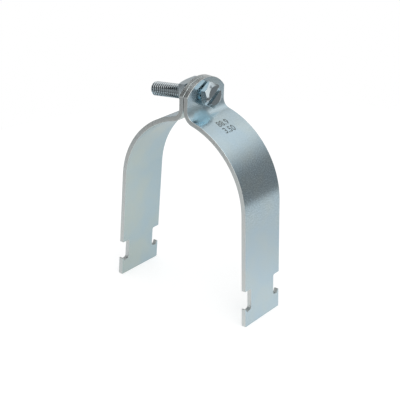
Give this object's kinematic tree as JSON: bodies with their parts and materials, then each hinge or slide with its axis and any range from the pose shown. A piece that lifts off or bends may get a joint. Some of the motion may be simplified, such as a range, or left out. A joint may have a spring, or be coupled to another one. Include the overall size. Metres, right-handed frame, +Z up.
{
  "type": "strut clamp",
  "caption": "Two-piece strap clamp that holds a pipe on slotted channel: hooked legs catch the channel's lips, and a slotted hex screw with a square nut draws the ears together.",
  "frame": {"origin": "on the floor plane under the leg ends, midway between the legs", "axes": "+Z up from the leg ends to the ears, +X across the clamp from the nut's side to the screw head's side, +Y along the pipe"},
  "size_m": [0.0938, 0.0318, 0.1293],
  "materials": {
    "zinc_strip": "bright zinc plate on rolled steel strip, satin, faintly blue and green",
    "zinc_fastener": "bright zinc plate on cold-headed and rolled steel"
  },
  "bodies": {
    "right_half": {"right_strap": "zinc_strip"},
    "left_half": {"left_strap": "zinc_strip"},
    "screw": {"clamp_screw": "zinc_fastener"},
    "nut": {"square_nut": "zinc_fastener"}
  },
  "joints": [
    {"name": "ear_opening", "type": "slide", "parent": "right_half", "child": "left_half", "axis": [-0.9916, 0, -0.1292], "range_m": [0, 0.02258]},
    {"name": "nut_travel", "type": "slide", "parent": "right_half", "child": "nut", "axis": [-0.9916, 0, -0.1292], "range_m": [0, 0.02258]},
    {"name": "screw_turn", "type": "hinge", "parent": "right_half", "child": "screw", "pos_m": [0, 0, 0.11939], "axis": [0.9916, 0, 0.1292], "range_deg": [0, 5760]}
  ],
  "couplings": [
    {"joint": "nut_travel", "follows": "ear_opening", "ratio": 1},
    {"joint": "screw_turn", "follows": "ear_opening", "rad_per_m": 4452.7}
  ]
}
